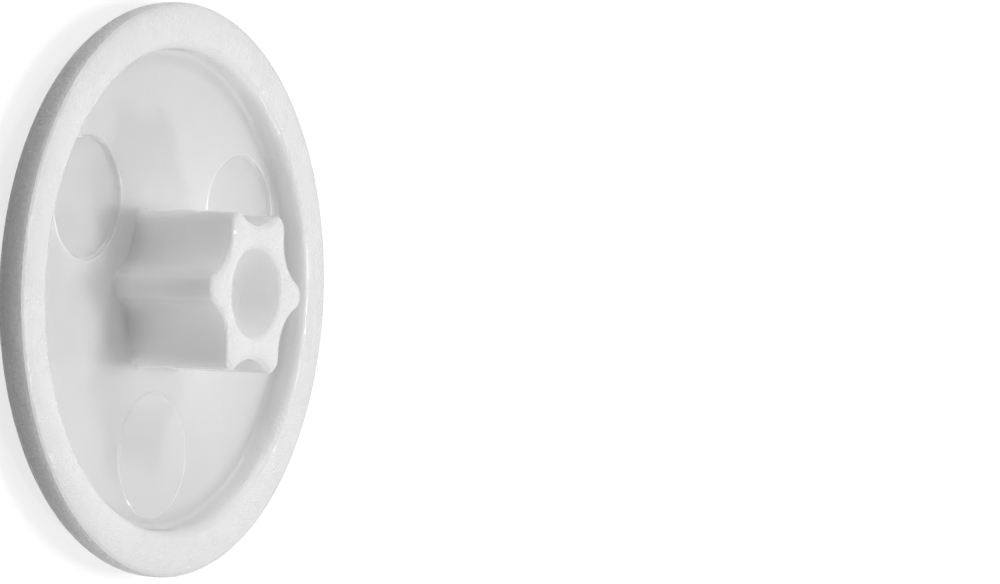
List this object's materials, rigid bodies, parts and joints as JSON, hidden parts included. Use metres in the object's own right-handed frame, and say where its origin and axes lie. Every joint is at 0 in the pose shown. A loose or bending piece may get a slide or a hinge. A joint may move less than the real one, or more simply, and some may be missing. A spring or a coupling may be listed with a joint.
{
  "type": "screw cover cap",
  "caption": "Round, slightly domed cover cap with a flat rim, a shallow recess and a hollow star-shaped plug that presses into the drive socket of a screw.",
  "frame": {"origin": "on the cap's axis, at the lowest point of the domed outer face, on which the cap lies", "axes": "+Z along the axis from the outer face to the plug's end face; a plug valley and the ejector mark that stands proud are on +X, and a plug lobe is on +Y"},
  "size_m": [0.012, 0.012, 0.0029],
  "materials": {
    "white_plastic": "moulded polyethylene or polypropylene, satin, slightly translucent, with a fine leather grain on the outer face, a spark-eroded rim and smoother walls"
  },
  "bodies": {
    "root": {"cap": "white_plastic"}
  },
  "joints": []
}
